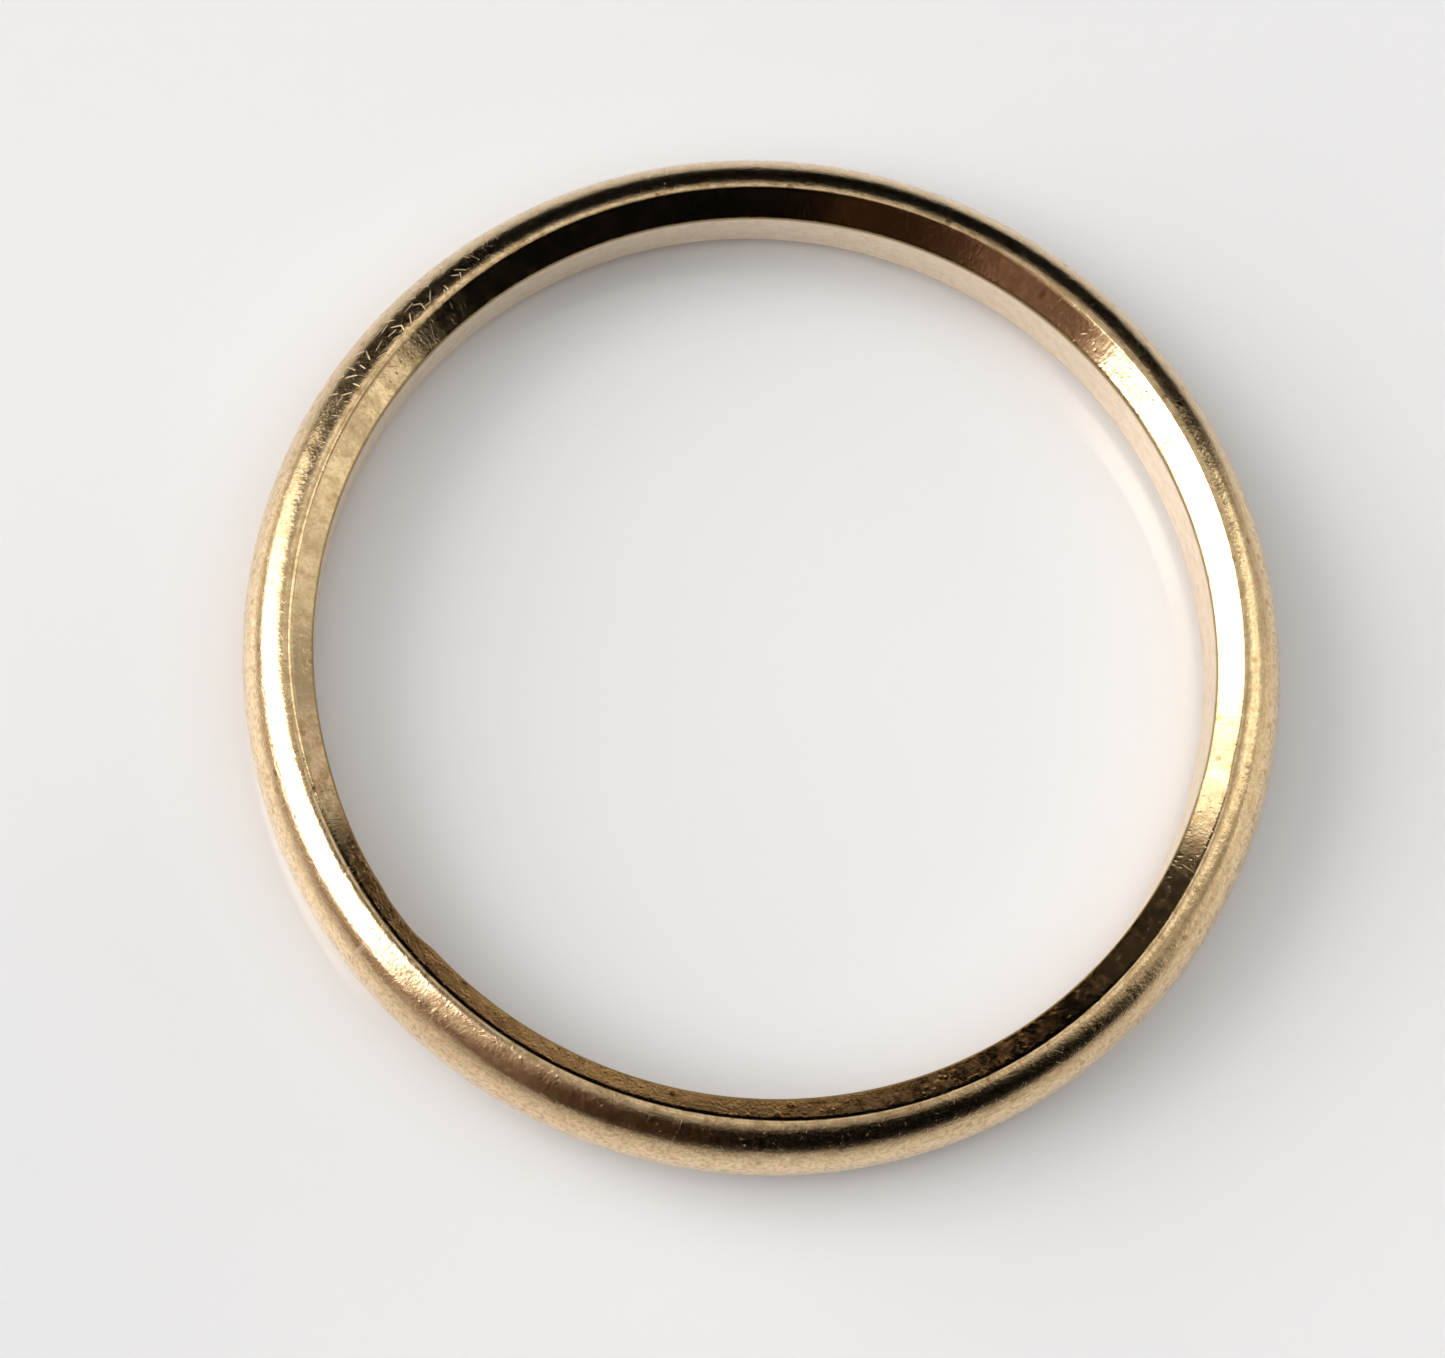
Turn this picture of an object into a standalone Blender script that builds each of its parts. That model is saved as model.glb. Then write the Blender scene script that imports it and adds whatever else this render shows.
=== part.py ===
"""A plain D-shaped wedding band: a strip of gold bent round until its ends meet, closed by a solder joint.

Metres, +Z up. The band lies flat, its axis along Z. The origin is the centre of the finger hole, level with
the lands that the band rests on.
"""

import math

import bmesh
import bpy
from mathutils import Matrix, Vector

MM = 0.001

# Driving dimensions
BORE_DIAMETER = 17.3 * MM
OUTER_DIAMETER = 20.0 * MM
BAND_WIDTH = 2.05 * MM
BEVEL_RADIAL = 0.47 * MM      # the inside corners are cut back by this much on the flat of the band
BEVEL_HEIGHT = 0.41 * MM      # and by this much down the finger hole
LAND_WIDTH = 0.07 * MM        # narrow flat between each bevel and the dome, where the band rests

# The solder joint
JOINT_DIRECTION = math.radians(218)   # anticlockwise from +X
SEAM_THICKNESS = 0.10 * MM
SEAM_SINK = 0.03 * MM         # the solder lies this far below the surface of the gold beside it
SEAM_CLEARANCE = 0.01 * MM    # between the solder and each end of the strip

# Fineness of the facets
DOME_STEPS = 16
RING_STEPS = 119

BORE_RADIUS = BORE_DIAMETER / 2
LAND_INNER_RADIUS = BORE_RADIUS + BEVEL_RADIAL
DOME_BASE_RADIUS = LAND_INNER_RADIUS + LAND_WIDTH
DOME_RISE = OUTER_DIAMETER / 2 - DOME_BASE_RADIUS
MEAN_RADIUS = (BORE_DIAMETER + OUTER_DIAMETER) / 4


def clear_scene():
    for obj in list(bpy.data.objects):
        bpy.data.objects.remove(obj, do_unlink=True)


def metal(name, color, roughness):
    material = bpy.data.materials.new(name)
    material.use_nodes = True
    shader = material.node_tree.nodes["Principled BSDF"]
    shader.inputs["Base Color"].default_value = (*color, 1.0)
    shader.inputs["Metallic"].default_value = 1.0
    shader.inputs["Roughness"].default_value = roughness
    return material


def band_section(sink=0.0):
    """The band's cross-section as (radius, height) points, drawn in by sink on every side.

    It runs up the wall of the finger hole, out over the upper bevel and land, down the half-elliptical
    dome, and back in over the lower land and bevel.
    """
    middle = BAND_WIDTH / 2
    half_width = middle - sink
    bore_wall = BORE_RADIUS + sink
    bevel_start = middle - BEVEL_HEIGHT
    points = [(bore_wall, middle - bevel_start), (bore_wall, middle + bevel_start)]
    points.append((LAND_INNER_RADIUS, middle + half_width))
    for step in range(DOME_STEPS + 1):
        angle = math.pi / 2 - math.pi * step / DOME_STEPS
        radius = DOME_BASE_RADIUS + (DOME_RISE - sink) * math.cos(angle)
        points.append((radius, middle + half_width * math.sin(angle)))
    points.append((LAND_INNER_RADIUS, middle - half_width))
    return points


def swept_section(name, points, start, sweep, steps, material):
    """A closed solid: the section stood up at the start direction and spun round Z through the sweep."""
    bm = bmesh.new()
    verts = [bm.verts.new((radius, 0.0, height)) for radius, height in points]
    section = bm.faces.new(verts)
    bmesh.ops.rotate(bm, verts=bm.verts, cent=Vector(), matrix=Matrix.Rotation(start, 3, "Z"))
    bmesh.ops.spin(
        bm,
        geom=[section, *section.edges, *section.verts],
        cent=Vector(),
        axis=Vector((0, 0, 1)),
        angle=sweep,
        steps=steps,
        use_duplicate=False,
    )
    bmesh.ops.recalc_face_normals(bm, faces=bm.faces)
    mesh = bpy.data.meshes.new(name)
    bm.to_mesh(mesh)
    bm.free()
    mesh.materials.append(material)
    mesh.shade_smooth()
    mesh.set_sharp_from_angle(angle=math.radians(25))
    obj = bpy.data.objects.new(name, mesh)
    bpy.context.collection.objects.link(obj)
    return obj


def build_shank():
    """The strip of gold, bent almost full circle, with its two ends facing each other across the joint."""
    half_gap = (SEAM_THICKNESS / 2 + SEAM_CLEARANCE) / MEAN_RADIUS
    gold = metal("yellow_gold", (0.83, 0.62, 0.34), 0.12)
    sweep = 2 * math.pi - 2 * half_gap
    swept_section("shank", band_section(), JOINT_DIRECTION + half_gap, sweep, RING_STEPS, gold)


def build_solder_seam():
    """The film of gold solder that fills the joint, cleaned up slightly below the gold on both sides."""
    half_seam = SEAM_THICKNESS / 2 / MEAN_RADIUS
    solder = metal("gold_solder", (0.80, 0.64, 0.40), 0.20)
    start = JOINT_DIRECTION - half_seam
    swept_section("solder_seam", band_section(SEAM_SINK), start, 2 * half_seam, 1, solder)


clear_scene()
build_shank()
build_solder_seam()
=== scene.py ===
"""A worn, plain gold wedding band lying on a pale glossy table.

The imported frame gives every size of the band. The two pieces here are fine meshes of its two nodes: the
strip of gold, and the solder that closes its joint. Headings are compass bearings: 0 is +Y, 90 is +X.
"""

import math

import bpy
import numpy as np
from mathutils import Matrix, Vector


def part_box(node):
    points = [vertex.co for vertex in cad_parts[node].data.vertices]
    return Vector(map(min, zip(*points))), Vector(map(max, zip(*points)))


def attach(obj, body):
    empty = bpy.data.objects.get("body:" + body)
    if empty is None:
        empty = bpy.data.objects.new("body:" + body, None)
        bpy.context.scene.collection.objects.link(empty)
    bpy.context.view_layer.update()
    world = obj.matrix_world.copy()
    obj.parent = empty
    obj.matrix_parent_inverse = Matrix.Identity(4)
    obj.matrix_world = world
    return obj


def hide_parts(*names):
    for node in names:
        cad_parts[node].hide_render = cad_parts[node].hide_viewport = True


MM = 0.001
SEED = 7

# Fineness of the meshes
RING_STEPS = 1440
DOME_STEPS = 64
BORE_STEPS = 14
BEVEL_STEPS = 12
LAND_STEPS = 2
EDGE_STEPS = 4
SEAM_STEPS = 4
SHARP_ANGLE = math.radians(60)

# Rounding that wear has given the edges
BORE_EDGE_ROUND = 0.06 * MM
LAND_EDGE_ROUND = 0.15 * MM
LAND_ROUND_MOST = 2.4         # times the land's width, which keeps the rounding on the land
BEVEL_EASE = 0.003 * MM       # polishing has laid the bevel this much flatter, taken up at the bore

# Gentle waves in the polished surface: lengths in mm, and the slope of one wave as rise over run
WAVE_COUNT = 80
SHORTEST_WAVE = 0.20
LONGEST_WAVE = 0.70
WAVE_SLOPE = 0.0018
INSIDE_WAVES = 0.4            # their share on the bevels and the bore
WAVES_FADE = 0.1 * MM         # they grow to their full share over this much of the dome

# The cluster of nicks on the dome to the north-west. Lengths in mm, and places in mm round the section.
NICK_COUNT = 40
NICK_HEADING = 311.0
NICK_SPREAD = 7.0             # degrees
NICK_PLACES = (2.0, 2.95)
NICK_LENGTHS = (0.2, 0.6)
NICK_WIDTHS = (0.045, 0.065)
NICK_TILTS = (25, 130)        # degrees from the run of the band
NICK_DEPTH = 0.005

# The hollow filed in the bore at the joint. Its stretches are degrees of heading past the joint.
HOLLOW_DEPTH = 0.075 * MM
HOLLOW_START = (-6.0, -2.0)
HOLLOW_STEP = (2.5, 5.0)      # over this stretch it loses a share of its depth
HOLLOW_STEP_SHARE = 0.35
HOLLOW_RUN_OUT = (6.0, 24.0)

# Wear has drawn the crown inwards round one heading, and fades out over a stretch on each side of it
CROWN_HEADING = 208.0
CROWN_WEAR = 0.065 * MM
CROWN_FADE = (12.0, 55.0)

# The bevel's outer edge wanders twice and five times a turn, and dips where the cut was picked up again
BEVEL_OVAL = 0.02 * MM
BEVEL_RIPPLE = 0.006 * MM
PICK_UP_HEADING = 104.0
PICK_UP_DEPTH = 0.03 * MM
PICK_UP_START = (-9.0, 0.0)
PICK_UP_END = (0.0, 4.0)

SOLDER_SINK = 0.003 * MM      # the solder is worn down this far below the gold

# The camera, as seen from the centre of the band
CAMERA_HEADING = 202.2
CAMERA_ELEVATION = 74.7
CAMERA_DISTANCE = 77 * MM
CAMERA_AIM = (-0.9 * MM, -0.65 * MM)
CAMERA_LENS = 100.6
CAMERA_RANGE = (1 * MM, 2.0)


def heading_vector(heading):
    angle = math.radians(heading)
    return Vector((math.sin(angle), math.cos(angle), 0.0))


def turn_between(headings, centre):
    """Signed degrees from the centre heading to each heading, between -180 and 180."""
    return (np.asarray(headings) - centre + 180.0) % 360.0 - 180.0


def smooth_step(low, high, value):
    share = np.clip((value - low) / (high - low), 0.0, 1.0)
    return share * share * (3.0 - 2.0 * share)


# ---- Sizes, from the frame ----


def node_points(node):
    """The node's vertices as columns of radius, height and anticlockwise angle from +X."""
    points = np.array([v.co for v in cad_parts[node].data.vertices])
    radius = np.hypot(points[:, 0], points[:, 1])
    return radius, points[:, 2], np.arctan2(points[:, 1], points[:, 0])


def read_sizes():
    """The band's section and joint, measured on the frame's two nodes."""
    radius, height, _ = node_points("shank")
    near = 0.001 * MM
    bore = radius.min()
    bore_heights = height[radius < bore + near]
    rest_radii = radius[height < height.min() + near]
    size = {
        "bore": bore,
        "outer": radius.max(),
        "width": height.max() - height.min(),
        "bevel_height": bore_heights.min() - height.min(),
        "land_inner": rest_radii.min(),
        "dome_base": rest_radii.max(),
    }
    seam_low, seam_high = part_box("solder_seam")
    middle = (seam_low + seam_high) / 2
    size["joint_angle"] = math.atan2(middle.y, middle.x)
    _, _, seam_angles = node_points("solder_seam")
    offsets = (seam_angles - size["joint_angle"] + math.pi) % (2 * math.pi) - math.pi
    size["seam_half_angle"] = offsets.max()
    size["mean_radius"] = (size["bore"] + size["outer"]) / 2
    return {name: float(value) for name, value in size.items()}


# ---- The band's section ----


def rounded_corner(before, corner, after, radius):
    """Points of an arc that rounds the corner of a path."""
    into = (before - corner).normalized()
    out = (after - corner).normalized()
    half_angle = into.angle(out) / 2
    reach = radius / math.tan(half_angle)
    centre = corner + (into + out).normalized() * (radius / math.sin(half_angle))
    first = corner + into * reach - centre
    last = corner + out * reach - centre
    begin = math.atan2(first.y, first.x)
    turn = (math.atan2(last.y, last.x) - begin + math.pi) % (2 * math.pi) - math.pi
    angles = [begin + turn * step / EDGE_STEPS for step in range(EDGE_STEPS + 1)]
    return [centre + radius * Vector((math.cos(angle), math.sin(angle))) for angle in angles]


def straight(start, end, steps):
    """Points between two ends of a straight, without the ends."""
    return [start.lerp(end, step / steps) for step in range(1, steps)]


def section(size, bore_shift, bevel_shift, dome_shift, sink):
    """The section as a closed list of (radius, height) points, up the bore and round by the dome.

    bore_shift, bevel_shift and dome_shift move the bore wall, the bevel's outer edge and the dome's inner
    edge outwards, and sink draws the whole section in.
    """
    bottom, top = sink, size["width"] - sink
    middle = size["width"] / 2
    bore = size["bore"] + bore_shift + sink
    land = size["land_inner"] + bevel_shift
    half_bore = middle - size["bevel_height"] + BEVEL_EASE
    slope = (size["land_inner"] - size["bore"]) / size["bevel_height"]
    half_bore += (bore_shift - bevel_shift) / slope  # the bevel keeps its slope when its ends move
    corners = {
        "lower_bore": Vector((bore, middle - half_bore)),
        "upper_bore": Vector((bore, middle + half_bore)),
        "upper_land": Vector((land, top)),
        "lower_land": Vector((land, bottom)),
    }
    dome_base = size["dome_base"] + dome_shift
    dome_top = Vector((dome_base, top))
    dome_bottom = Vector((dome_base, bottom))
    land_round = min(LAND_EDGE_ROUND, LAND_ROUND_MOST * (dome_base - land))
    lower_bore = rounded_corner(
        corners["lower_land"], corners["lower_bore"], corners["upper_bore"], BORE_EDGE_ROUND
    )
    upper_bore = rounded_corner(
        corners["lower_bore"], corners["upper_bore"], corners["upper_land"], BORE_EDGE_ROUND
    )
    upper_land = rounded_corner(corners["upper_bore"], corners["upper_land"], dome_top, land_round)
    lower_land = rounded_corner(dome_bottom, corners["lower_land"], corners["lower_bore"], land_round)
    rise = size["outer"] - sink - dome_base
    half = middle - sink
    turns = [math.pi * (0.5 - step / DOME_STEPS) for step in range(DOME_STEPS + 1)]
    dome = [
        Vector((dome_base + rise * math.cos(turn), middle + half * math.sin(turn))) for turn in turns
    ]
    path = lower_bore + straight(lower_bore[-1], upper_bore[0], BORE_STEPS) + upper_bore
    path += straight(upper_bore[-1], upper_land[0], BEVEL_STEPS) + upper_land
    path += straight(upper_land[-1], dome[0], LAND_STEPS) + dome
    path += straight(dome[-1], lower_land[0], LAND_STEPS) + lower_land
    path += straight(lower_land[-1], lower_bore[0], BEVEL_STEPS)
    return path


# ---- Hand work and wear, as shape ----


def joint_dressing(headings, size):
    """How far the bore wall was filed outwards near the joint: a short hollow that runs out one way."""
    joint = 90.0 - math.degrees(size["joint_angle"])
    away = turn_between(headings, joint)
    rise = smooth_step(*HOLLOW_START, away)
    lip = 1.0 - HOLLOW_STEP_SHARE * smooth_step(*HOLLOW_STEP, away)
    run_out = 1.0 - smooth_step(*HOLLOW_RUN_OUT, away)
    return HOLLOW_DEPTH * rise * lip * run_out


def crown_wander(headings):
    """How far the crown of the band has moved outwards. Wear has drawn it in, so it is never positive."""
    away = np.abs(turn_between(headings, CROWN_HEADING))
    return -CROWN_WEAR * (1.0 - smooth_step(*CROWN_FADE, away))


def bevel_wander(headings):
    """How far the bevel's outer edge has moved outwards. The bevel was cut by hand."""
    turns = np.radians(headings)
    slow = BEVEL_OVAL * np.cos(2 * turns) + BEVEL_RIPPLE * np.sin(5 * turns + 1.0)
    away = turn_between(headings, PICK_UP_HEADING)
    pick_up = smooth_step(*PICK_UP_START, away) * (1.0 - smooth_step(*PICK_UP_END, away))
    return slow - PICK_UP_DEPTH * pick_up + crown_wander(headings)


def wave_depth(along, across, circumference):
    """Gentle waves left by hand polishing, as depth below the true surface. All lengths in mm.

    A wave goes a whole number of times round the band, so that it meets itself.
    """
    draw = np.random.default_rng(SEED)
    depth = np.zeros(along.shape)
    for _ in range(WAVE_COUNT):
        length = math.exp(draw.uniform(math.log(SHORTEST_WAVE), math.log(LONGEST_WAVE)))
        direction = draw.uniform(0, math.pi)
        turns = round(circumference * math.cos(direction) / length)
        phase = 2 * math.pi * (turns * along / circumference + across * math.sin(direction) / length)
        height = WAVE_SLOPE * length / (2 * math.pi)
        depth += height * np.sin(phase + draw.uniform(0, 2 * math.pi))
    return depth - depth.min()


def nick_depth(along, across, circumference):
    """The cluster of crossed nicks on the dome to the north-west, as depth. All lengths in mm."""
    draw = np.random.default_rng(SEED + 1)
    depth = np.zeros(along.shape)
    for _ in range(NICK_COUNT):
        centre = draw.normal(NICK_HEADING, NICK_SPREAD) / 360.0 * circumference
        place = draw.uniform(*NICK_PLACES)
        length = draw.uniform(*NICK_LENGTHS)
        width = draw.uniform(*NICK_WIDTHS)
        tilt = math.radians(draw.uniform(*NICK_TILTS))
        east = (along - centre + circumference / 2) % circumference - circumference / 2
        north = across - place
        lengthwise = (east * math.cos(tilt) + north * math.sin(tilt)) / (length / 2)
        crosswise = (north * math.cos(tilt) - east * math.sin(tilt)) / (width / 2)
        depth += NICK_DEPTH * np.exp(-(lengthwise**4) - crosswise**2)
    return depth


# ---- Meshes ----


def ring_sections(size, headings, sink):
    """The section at each heading, as rings of (radius, height) points."""
    shifts = zip(joint_dressing(headings, size), bevel_wander(headings), crown_wander(headings))
    return np.array([[tuple(point) for point in section(size, *map(float, shift), sink)] for shift in shifts])


def lower_surface(rings, headings, across_mm, size):
    """Moves every point in from the true surface by the depth of the waves and the nicks there."""
    ring_count, count, _ = rings.shape
    circumference_mm = 2 * math.pi * size["mean_radius"] / MM
    along = np.repeat(headings[:, None] / 360.0 * circumference_mm, count, axis=1)
    across = np.repeat(across_mm[None, :count], ring_count, axis=0)
    on_dome = smooth_step(size["dome_base"], size["dome_base"] + WAVES_FADE, rings[..., 0])
    wave_share = INSIDE_WAVES + (1 - INSIDE_WAVES) * on_dome
    depth = MM * wave_depth(along, across, circumference_mm) * wave_share
    depth += MM * nick_depth(along, across, circumference_mm)
    edge = np.roll(rings, -1, axis=1) - np.roll(rings, 1, axis=1)
    edge /= np.linalg.norm(edge, axis=-1, keepdims=True)
    radius = rings[..., 0] + edge[..., 1] * depth
    height = rings[..., 1] - edge[..., 0] * depth
    return radius, height


def sweep_faces(steps, count):
    """Faces that join each ring of points to the next, and a flat face at each end."""
    faces = []
    for ring in range(steps):
        here, ahead = ring * count, (ring + 1) * count
        for step in range(count):
            following = (step + 1) % count
            faces.append((here + step, ahead + step, ahead + following, here + following))
    faces.append(tuple(range(count)))
    faces.append(tuple(steps * count + step for step in reversed(range(count))))
    return faces


def add_dark_edge(mesh, ring_count, count):
    """Marks the upper edge of the finger hole, which the gold's colour darkens to a dark brown."""
    edge_points = EDGE_STEPS + 1
    upper_edge = edge_points + BORE_STEPS - 1
    held = np.zeros(count)
    held[upper_edge : upper_edge + edge_points] = 1.0
    dark_edge = mesh.attributes.new("dark_edge", "FLOAT", "POINT")
    dark_edge.data.foreach_set("value", np.tile(held, ring_count).astype(np.float32))


def add_surface_map(mesh, run_mm, across_mm):
    """Unrolls the band as a map: mm along it from its start, and mm across its section."""
    steps, count = len(run_mm) - 1, len(across_mm) - 1
    coords = []
    for ring in range(steps):
        for step in range(count):
            coords += [
                (run_mm[ring], across_mm[step]),
                (run_mm[ring + 1], across_mm[step]),
                (run_mm[ring + 1], across_mm[step + 1]),
                (run_mm[ring], across_mm[step + 1]),
            ]
    both_ends = 2 * count
    coords += [(0.0, 0.0)] * both_ends
    surface = mesh.uv_layers.new(name="surface_mm")
    surface.data.foreach_set("uv", np.array(coords, np.float32).ravel())


def swept_piece(name, size, start, sweep, steps, sink):
    """A closed mesh of the section swept round the axis from the start angle, with flat ends."""
    angles = start + sweep * np.arange(steps + 1) / steps
    headings = (90.0 - np.degrees(angles)) % 360.0
    rings = ring_sections(size, headings, sink)
    count = rings.shape[1]
    # Distance across the section, measured on the first ring
    step_lengths = np.linalg.norm(np.diff(rings[0], axis=0, append=rings[0][:1]), axis=-1)
    across_mm = np.concatenate([[0.0], np.cumsum(step_lengths)]) / MM
    radius, height = lower_surface(rings, headings, across_mm, size)
    points = np.stack([radius * np.cos(angles)[:, None], radius * np.sin(angles)[:, None], height], axis=-1)

    mesh = bpy.data.meshes.new(name)
    mesh.from_pydata(points.reshape(-1, 3).tolist(), [], sweep_faces(steps, count))
    mesh.shade_smooth()
    mesh.set_sharp_from_angle(angle=SHARP_ANGLE)
    add_dark_edge(mesh, steps + 1, count)
    add_surface_map(mesh, (angles - start) * size["mean_radius"] / MM, across_mm)
    piece = bpy.data.objects.new(name, mesh)
    bpy.context.scene.collection.objects.link(piece)
    return piece


# ---- Node helpers ----


class Nodes:
    """Adds nodes to a tree. A socket given as an input's value is linked, and anything else is set."""

    def __init__(self, tree):
        self.tree = tree

    def add(self, kind, inputs=None, **settings):
        node = self.tree.nodes.new(kind)
        for key, value in settings.items():
            setattr(node, key, value)
        for key, value in (inputs or {}).items():
            if isinstance(value, bpy.types.NodeSocket):
                self.tree.links.new(value, node.inputs[key])
            else:
                node.inputs[key].default_value = value
        return node

    def math(self, operation, first, second=0.0, third=0.0):
        inputs = {0: first, 1: second, 2: third}
        return self.add("ShaderNodeMath", inputs, operation=operation).outputs[0]

    def ramp(self, value, low, high, to_low=0.0, to_high=1.0):
        inputs = {"Value": value, "From Min": low, "From Max": high, "To Min": to_low, "To Max": to_high}
        return self.add("ShaderNodeMapRange", inputs, interpolation_type="SMOOTHSTEP").outputs["Result"]

    def mix(self, share, first, second):
        inputs = {0: share, 6: first, 7: second}  # the colour sockets, which share their names with others
        return self.add("ShaderNodeMix", inputs, data_type="RGBA").outputs[2]

    def noise(self, vector, scale, detail=2.0):
        inputs = {"Vector": vector, "Scale": scale, "Detail": detail}
        return self.add("ShaderNodeTexNoise", inputs).outputs["Fac"]

    def placed(self, vector, shift, stretch=(1, 1, 1)):
        inputs = {"Vector": vector, "Location": shift, "Scale": stretch}
        return self.add("ShaderNodeMapping", inputs).outputs["Vector"]

    def angle_from(self, angle, middle):
        """Signed angle in radians from a middle given in degrees, between -pi and pi."""
        turned = self.math("SUBTRACT", angle, math.radians(middle))
        return self.math("WRAP", turned, math.pi, -math.pi)


def new_material(name):
    material = bpy.data.materials.new(name)
    material.use_nodes = True
    return material, Nodes(material.node_tree), material.node_tree.nodes["Principled BSDF"]


# ---- Gold ----


GOLD = (0.92, 0.70, 0.43)
SOLDER = (0.90, 0.72, 0.48)
# The dark brown laid along the upper edge of the finger hole, and how much of it covers the gold there
DARK_EDGE_BROWN = (0.30, 0.21, 0.07)
DARK_EDGE_COVER = 0.85
DULLED = (0.66, 0.60, 0.50)   # what a dull patch leaves of each channel
PALEST = 0.95
PALE_SHARE = 0.35             # how far the gold goes towards the palest where it turns away, and over the whole bore wall, where it is a painted brighter reflection
GOLD_HAZE = 0.06              # the least roughness
SOLDER_HAZE = 0.11
BUMP_DEPTH = 0.0022 * MM

# Marks, scattered over random grids: cells per mm, length and width in mm where the mark is a cut, the share
# of cells that hold one, and a shift that gives each kind a grid of its own
LONG_CUTS = (1.3, 0.85, 0.026, 0.16, 3.1)
SHORT_CUTS = (3.4, 0.34, 0.022, 0.15, 11.7)
FINE_CUTS = (8.0, 0.15, 0.018, 0.20, 23.9)
CLUSTER_CUTS = (4.2, 0.30, 0.034, 0.85, 31.3)
SMALL_PITS = (9.0, 0.20, 5.3)
WIDE_PITS = (3.4, 0.08, 17.1)

# Noise: scale per mm, and detail
GRAIN = (15.0, 4.0)
BLOTCHES = (3.2, 4.0)
SPECKS = (11.0, 4.0)

# How deep each kind of mark is, as a share of the bump's depth, and the roughness that places and marks add
MARK_DEPTHS = {"scratches": 0.25, "crowded": 1.4, "small_pits": 0.5, "wide_pits": 0.9}
ZONE_HAZE = {"dome": 0.07, "rim": 0.12, "bore_wall": 0.20}
MARK_HAZE = {"specks": 0.05, "scratches": 0.07, "crowded": 0.30}


def cuts(nodes, surface, per_mm, length, width, share, shift):
    """Short straight scratches, one in some of the cells of a random grid, each turned its own way."""
    moved = nodes.placed(surface, (shift, shift / 2, 0))
    cells = nodes.add("ShaderNodeTexVoronoi", {"Vector": moved, "Scale": per_mm}, voronoi_dimensions="2D")
    picks = nodes.add("ShaderNodeSeparateColor", {"Color": cells.outputs["Color"]})
    inputs = {0: moved, 1: cells.outputs["Position"]}
    local = nodes.add("ShaderNodeVectorMath", inputs, operation="SUBTRACT").outputs["Vector"]
    angle = nodes.math("MULTIPLY", picks.outputs[0], 2 * math.pi)
    inputs = {"Vector": local, "Angle": angle}
    turned = nodes.add("ShaderNodeVectorRotate", inputs, rotation_type="Z_AXIS").outputs["Vector"]
    axes = nodes.add("ShaderNodeSeparateXYZ", {"Vector": turned})
    lengthwise = nodes.math("ABSOLUTE", axes.outputs["X"])
    crosswise = nodes.math("ABSOLUTE", axes.outputs["Y"])
    line = nodes.ramp(crosswise, 0.0, width / 2, 1.0, 0.0)
    ends = nodes.ramp(lengthwise, length * 0.3, length / 2, 1.0, 0.0)
    shown = nodes.math("LESS_THAN", picks.outputs[1], share)
    return nodes.math("MULTIPLY", nodes.math("MULTIPLY", line, ends), shown)


def pits(nodes, surface, per_mm, share, shift):
    """Round pits, one in some of the cells of a random grid, each out to a third of a cell."""
    inputs = {"Vector": nodes.placed(surface, (shift, shift, 0)), "Scale": per_mm}
    cells = nodes.add("ShaderNodeTexVoronoi", inputs, voronoi_dimensions="2D")
    bowl = nodes.ramp(cells.outputs["Distance"], 0.10, 0.34, 1.0, 0.0)
    pick = nodes.add("ShaderNodeSeparateColor", {"Color": cells.outputs["Color"]}).outputs[0]
    return nodes.math("MULTIPLY", bowl, nodes.math("LESS_THAN", pick, share))


def zones(nodes, size):
    """Masks by place: the dome and what lies inside it, its rim, the bore's wall, and round the nicks."""
    place = nodes.add("ShaderNodeTexCoord").outputs["Object"]
    axes = nodes.add("ShaderNodeSeparateXYZ", {"Vector": place})
    flat = nodes.add("ShaderNodeCombineXYZ", {"X": axes.outputs["X"], "Y": axes.outputs["Y"]})
    length = nodes.add("ShaderNodeVectorMath", {0: flat.outputs["Vector"]}, operation="LENGTH")
    radius = length.outputs["Value"]
    base, rise = size["dome_base"], size["outer"] - size["dome_base"]
    dome = nodes.ramp(radius, base, base + 0.15 * rise)
    rim = nodes.ramp(radius, base + 0.35 * rise, base + 0.85 * rise)
    bore_wall = nodes.ramp(radius, size["bore"] + 0.01 * MM, size["bore"] + 0.04 * MM, 1.0, 0.0)
    heading = nodes.math("ARCTAN2", axes.outputs["X"], axes.outputs["Y"])
    away = nodes.math("ABSOLUTE", nodes.angle_from(heading, NICK_HEADING))
    near_nicks = nodes.ramp(away, math.radians(NICK_SPREAD), math.radians(2.5 * NICK_SPREAD), 1.0, 0.0)
    return {
        "dome": dome,
        "inside": nodes.math("SUBTRACT", 1.0, dome),
        "rim": rim,
        "bore_wall": bore_wall,
        "nicked": nodes.math("MULTIPLY", near_nicks, dome),
    }


def wear_marks(nodes, surface, zone):
    """Masks of the marks: scratches, the crowded ones among the nicks, pits, and two sizes of dull patch."""
    scratches = nodes.math("MAXIMUM", cuts(nodes, surface, *LONG_CUTS), cuts(nodes, surface, *SHORT_CUTS))
    scratches = nodes.math("MAXIMUM", scratches, cuts(nodes, surface, *FINE_CUTS))
    return {
        "scratches": scratches,
        "crowded": nodes.math("MULTIPLY", cuts(nodes, surface, *CLUSTER_CUTS), zone["nicked"]),
        "small_pits": pits(nodes, surface, *SMALL_PITS),
        "wide_pits": pits(nodes, surface, *WIDE_PITS),
        "blotches": nodes.ramp(nodes.noise(surface, *BLOTCHES), 0.40, 0.66),
        "specks": nodes.ramp(nodes.noise(surface, *SPECKS), 0.44, 0.64),
    }


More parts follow.
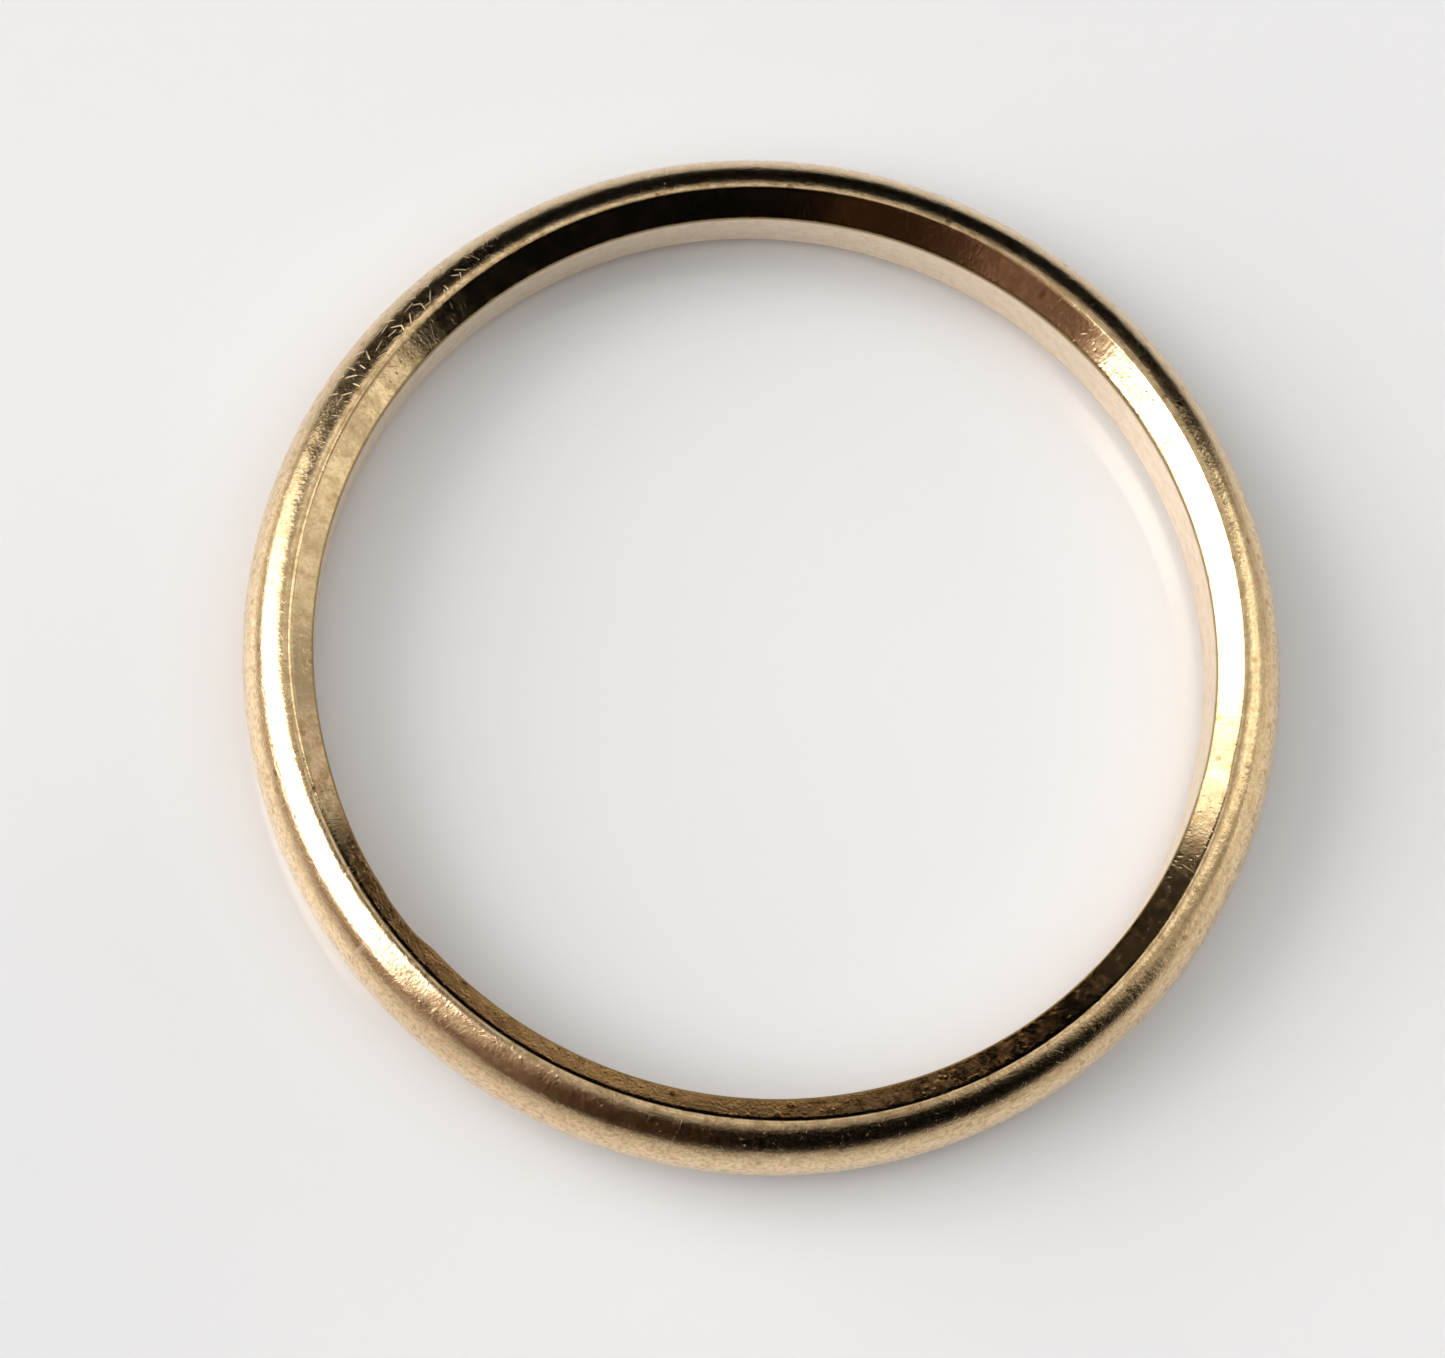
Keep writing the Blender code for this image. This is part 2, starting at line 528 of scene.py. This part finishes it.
def relief(nodes, surface, zone, mark):
    """The normal over the marks, a grain that is coarsest on the rim, and streaks along the band."""
    grain = nodes.noise(surface, *GRAIN)
    streaks = nodes.noise(nodes.placed(surface, (2, 7, 0), (0.35, 9.0, 1)), 1.0)
    height = 0.0
    for name, depth in MARK_DEPTHS.items():
        height = nodes.math("MULTIPLY_ADD", mark[name], -depth, height)
    coarse = nodes.math("MULTIPLY_ADD", zone["rim"], 0.5, nodes.math("MULTIPLY_ADD", zone["dome"], 0.9, 0.8))
    height = nodes.math("MULTIPLY_ADD", grain, coarse, height)
    streaked = nodes.math("MULTIPLY_ADD", zone["dome"], 0.7, 0.2)
    height = nodes.math("MULTIPLY_ADD", streaks, streaked, height)
    bump = nodes.add("ShaderNodeBump", {"Height": height, "Strength": 1.0, "Distance": BUMP_DEPTH})
    return bump.outputs["Normal"]


def haze(nodes, surface, zone, mark, least):
    """The roughness: least on the bevels, which only the dull patches haze."""
    patches = nodes.noise(nodes.placed(surface, (9, 4, 0), (0.7, 1.4, 1)), 1.0)
    rough = nodes.math("MULTIPLY_ADD", patches, 0.06, least)
    for name, added in ZONE_HAZE.items():
        rough = nodes.math("MULTIPLY_ADD", zone[name], added, rough)
    for name, added in MARK_HAZE.items():
        rough = nodes.math("MULTIPLY_ADD", mark[name], added, rough)
    inner_blotches = nodes.math("MULTIPLY", mark["blotches"], zone["inside"])
    return nodes.math("MULTIPLY_ADD", inner_blotches, 0.06, rough)


def tint(nodes, zone, mark, color):
    """The colour: paler where the gold turns away, painted its palest over the whole bore wall as a painted
    brighter reflection, dull in patches and pits, and darkened to a dark brown along the upper edge of the
    finger hole.
    """
    facing = nodes.add("ShaderNodeLayerWeight", {"Blend": 0.5}).outputs["Facing"]
    pale = tuple(PALE_SHARE * PALEST + (1 - PALE_SHARE) * channel for channel in color)
    turned_away = nodes.ramp(facing, 0.4, 0.95, 0.0, 0.7)
    # On the bore wall the gold is painted its palest everywhere: a painted brighter reflection, not a colour
    # the gold has there
    pale_and_painted_bore = nodes.math("MAXIMUM", turned_away, zone["bore_wall"])
    shade = nodes.mix(pale_and_painted_bore, (*color, 1.0), (*pale, 1.0))
    dull = tuple(channel * left for channel, left in zip(color, DULLED))
    soiled = nodes.math("MULTIPLY", mark["specks"], nodes.math("MULTIPLY_ADD", zone["rim"], 0.30, 0.30))
    blotched = nodes.math("MULTIPLY_ADD", zone["inside"], 0.30, 0.30)
    soiled = nodes.math("MULTIPLY_ADD", mark["blotches"], blotched, soiled)
    soiled = nodes.math("MAXIMUM", soiled, mark["wide_pits"])
    soiled = nodes.math("MULTIPLY", soiled, nodes.math("MULTIPLY_ADD", zone["bore_wall"], -0.7, 1.0))
    shade = nodes.mix(soiled, shade, (*dull, 1.0))
    # The upper edge of the finger hole is darkened towards a dark brown
    dark_edge = nodes.add("ShaderNodeAttribute", attribute_name="dark_edge").outputs["Fac"]
    return nodes.mix(nodes.math("MULTIPLY", dark_edge, DARK_EDGE_COVER), shade, (*DARK_EDGE_BROWN, 1.0))


def gold(name, color, least_haze, size):
    """Worn gold: scratches every way, small pits, grain, and most haze where the dome stands proudest."""
    material, nodes, shader = new_material(name)
    surface = nodes.add("ShaderNodeUVMap", uv_map="surface_mm").outputs["UV"]
    zone = zones(nodes, size)
    mark = wear_marks(nodes, surface, zone)
    links = material.node_tree.links
    links.new(tint(nodes, zone, mark, color), shader.inputs["Base Color"])
    links.new(haze(nodes, surface, zone, mark, least_haze), shader.inputs["Roughness"])
    links.new(relief(nodes, surface, zone, mark), shader.inputs["Normal"])
    shader.inputs["Metallic"].default_value = 1.0
    return material


# ---- The table, the light and the camera ----


TABLE_HALF = 0.7
TABLE_ROUGHNESS = 0.10
TABLE_TINTS = ((0.80, 0.80, 0.80, 1), (0.82, 0.815, 0.81, 1))
TABLE_CLOUDS = 60.0           # per metre


def build_table():
    """A pale glossy table top, big enough to reach the horizon of the band's reflections."""
    half = TABLE_HALF
    mesh = bpy.data.meshes.new("table_top")
    corners = [(-half, -half, 0.0), (half, -half, 0.0), (half, half, 0.0), (-half, half, 0.0)]
    mesh.from_pydata(corners, [], [(0, 1, 2, 3)])
    table = bpy.data.objects.new("table_top", mesh)
    bpy.context.scene.collection.objects.link(table)
    material, nodes, shader = new_material("pale_laminate")
    place = nodes.add("ShaderNodeNewGeometry").outputs["Position"]
    clouded = nodes.mix(nodes.noise(place, TABLE_CLOUDS), *TABLE_TINTS)
    material.node_tree.links.new(clouded, shader.inputs["Base Color"])
    shader.inputs["Roughness"].default_value = TABLE_ROUGHNESS
    mesh.materials.append(material)


# What the gold and the table's gloss mirror, as cards round the band: heading, half width, lowest and highest
# elevation, softness across and up, how much the lower edge falls per degree of heading, and radiance.
# Angles are in degrees. A later card covers an earlier one.
REFLECTED_CARDS = [
    ("haze", 0, 180, 2, 95, 1, 6, 0.0, (0.47, 0.44, 0.40)),
    ("east_wall", 84, 32, 1.5, 72, 6, 20, 0.0, (0.76, 0.74, 0.67)),
    ("north_east_wall", 62, 13, 1.5, 32, 22, 10, 0.0, (0.46, 0.44, 0.40)),
    ("east_glow", 62, 24, 34, 68, 16, 8, 0.0, (1.36, 1.31, 1.14)),
    ("east_shade", 112, 27, 26, 78, 16, 14, 0.0, (0.42, 0.39, 0.33)),
    ("north_glow", 4, 32, 60, 76, 24, 12, 0.0, (0.72, 0.69, 0.62)),
    ("dim_north_west", 320, 20, -3, 60, 8, 20, 0.0, (0.028, 0.024, 0.018)),
    ("dark_north", 12, 43, -3, 60, 5, 22, 0.0, (0.002, 0.002, 0.002)),
    ("dark_south", 157, 43.5, 9, 77, 6, 22, 0.0, (0.002, 0.002, 0.002)),
    ("brown_south", 201, 17, 12, 79, 4, 16, 0.0, (0.030, 0.014, 0.007)),
    ("pink_corner", 224, 16, 15, 79, 16, 14, 0.0, (0.15, 0.09, 0.07)),
    ("window_wall", 270, 40, 1, 82, 6, 8, 0.0, (0.28, 0.18, 0.13)),
    ("thin_curtain", 297, 12, 8, 78, 6, 10, 0.2, (1.30, 1.28, 1.15)),
    ("thick_curtain", 289, 11, 12, 79, 7, 8, 0.2, (2.40, 2.38, 2.20)),
    ("window", 264, 27.5, 20.5, 62, 5, 8, 0.28, (5.0, 5.0, 5.1)),
    ("window_top", 274, 21, 58, 80, 10, 8, 0.0, (5.0, 5.0, 5.1)),
    ("window_jamb", 230, 11, 36, 68, 8, 16, 0.0, (0.42, 0.33, 0.26)),
    ("lens", 322, 28, 78, 95, 10, 5, 0.0, (0.080, 0.080, 0.086)),
]
HORIZON = (0.20, 0.16, 0.12)   # what is mirrored where there is no card
# The cards that light what isn't mirror-like, such as the table
LIGHTING_CARDS = [
    ("ceiling", 0, 180, 40, 95, 1, 10, 0.0, (0.92, 0.915, 0.91)),
    ("north_east", 62, 15, 4, 85, 20, 16, 0.0, (1.38, 1.37, 1.36)),
    ("low_window", 279, 32, 8, 47, 20, 12, 0.0, (4.95, 4.90, 4.96)),
]
FILL = (0.03, 0.03, 0.03)      # the light where there is no card
BACKDROP = (0.80, 0.80, 0.80)  # what the camera sees past the table
# The mirrored surroundings are uneven: noise in this range becomes a factor in that range
UNEVEN_SCALE = 9.0
UNEVEN_DETAIL = 5.0
UNEVEN_NOISE = (0.38, 0.62)
UNEVEN_FACTOR = (0.55, 1.45)


def paint_cards(nodes, heading, elevation, base, cards):
    """The colour seen along a heading and an elevation, in radians, with the cards laid over the base.

    A card's lower edge is four times crisper than its upper one.
    """
    radiance = (*base, 1.0)
    for _, middle, half_width, low, high, soft_across, soft_up, fall, color in cards:
        turned = nodes.angle_from(heading, middle)
        away = nodes.math("ABSOLUTE", turned)
        edge = math.radians(soft_across) / 2
        across = nodes.ramp(away, math.radians(half_width) - edge, math.radians(half_width) + edge, 1.0, 0.0)
        raised = nodes.math("MULTIPLY_ADD", turned, fall, elevation)
        edge = math.radians(soft_up) / 8
        above = nodes.ramp(raised, math.radians(low) - edge, math.radians(low) + edge)
        edge = math.radians(soft_up) / 2
        below = nodes.ramp(elevation, math.radians(high) - edge, math.radians(high) + edge, 1.0, 0.0)
        share = nodes.math("MULTIPLY", across, nodes.math("MULTIPLY", above, below))
        radiance = nodes.mix(share, radiance, (*color, 1.0))
    return radiance


def build_world():
    """A soft studio in cards: those that are mirrored, and a simpler set that lights the table."""
    world = bpy.data.worlds.new("soft_studio")
    bpy.context.scene.world = world
    world.use_nodes = True
    world.cycles.sampling_method = "NONE"  # so that each kind of ray meets its own cards
    world.node_tree.nodes.clear()
    nodes = Nodes(world.node_tree)
    direction = nodes.add("ShaderNodeTexCoord").outputs["Generated"]
    axes = nodes.add("ShaderNodeSeparateXYZ", {"Vector": direction})
    heading = nodes.math("ARCTAN2", axes.outputs["X"], axes.outputs["Y"])
    elevation = nodes.math("ARCSINE", axes.outputs["Z"])
    reflected = paint_cards(nodes, heading, elevation, HORIZON, REFLECTED_CARDS)
    uneven = nodes.ramp(nodes.noise(direction, UNEVEN_SCALE, UNEVEN_DETAIL), *UNEVEN_NOISE, *UNEVEN_FACTOR)
    reflected = nodes.add("ShaderNodeVectorMath", {0: reflected, "Scale": uneven}, operation="SCALE")
    lighting = paint_cards(nodes, heading, elevation, FILL, LIGHTING_CARDS)
    path = nodes.add("ShaderNodeLightPath")
    radiance = nodes.mix(path.outputs["Is Diffuse Ray"], reflected.outputs["Vector"], lighting)
    light = nodes.add("ShaderNodeBackground", {"Color": radiance, "Strength": 1.0})
    backdrop = nodes.add("ShaderNodeBackground", {"Color": (*BACKDROP, 1.0), "Strength": 1.0})
    both = {0: path.outputs["Is Camera Ray"], 1: light.outputs[0], 2: backdrop.outputs[0]}
    seen = nodes.add("ShaderNodeMixShader", both)
    nodes.add("ShaderNodeOutputWorld", {"Surface": seen.outputs[0]})


def build_camera(size):
    camera = bpy.data.objects.new("camera", bpy.data.cameras.new("camera"))
    bpy.context.scene.collection.objects.link(camera)
    rim = Vector((0, 0, size["width"] - size["bevel_height"]))
    lift = math.radians(CAMERA_ELEVATION)
    away = heading_vector(CAMERA_HEADING) * math.cos(lift) + Vector((0, 0, math.sin(lift)))
    place = rim + away * CAMERA_DISTANCE
    forward = (rim + Vector((*CAMERA_AIM, 0)) - place).normalized()
    right = forward.cross(Vector((0, 1, 0))).normalized()
    up = right.cross(forward)
    turn = Matrix((right, up, -forward)).transposed().to_4x4()
    camera.matrix_world = Matrix.Translation(place) @ turn
    camera.data.lens = CAMERA_LENS
    camera.data.clip_start, camera.data.clip_end = CAMERA_RANGE
    bpy.context.scene.camera = camera


# ---- The scene ----

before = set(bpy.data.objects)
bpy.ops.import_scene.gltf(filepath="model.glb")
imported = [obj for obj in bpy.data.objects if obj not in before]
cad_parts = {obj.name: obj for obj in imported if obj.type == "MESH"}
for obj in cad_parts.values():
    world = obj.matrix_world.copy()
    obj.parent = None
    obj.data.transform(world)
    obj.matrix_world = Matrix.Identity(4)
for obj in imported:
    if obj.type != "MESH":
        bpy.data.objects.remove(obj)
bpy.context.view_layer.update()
size = read_sizes()

start = size["joint_angle"] + size["seam_half_angle"]
sweep = 2 * math.pi - 2 * size["seam_half_angle"]
band = swept_piece("gold_band", size, start, sweep, RING_STEPS, 0.0)
band.data.materials.append(gold("worn_gold", GOLD, GOLD_HAZE, size))
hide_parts("shank")
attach(band, "root")

seam_start = size["joint_angle"] - size["seam_half_angle"]
seam_sweep = 2 * size["seam_half_angle"]
seam = swept_piece("joint_solder", size, seam_start, seam_sweep, SEAM_STEPS, SOLDER_SINK)
seam.data.materials.append(gold("worn_solder", SOLDER, SOLDER_HAZE, size))
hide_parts("solder_seam")
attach(seam, "root")

build_table()
build_world()
build_camera(size)
bpy.context.scene.view_settings.view_transform = "Standard"
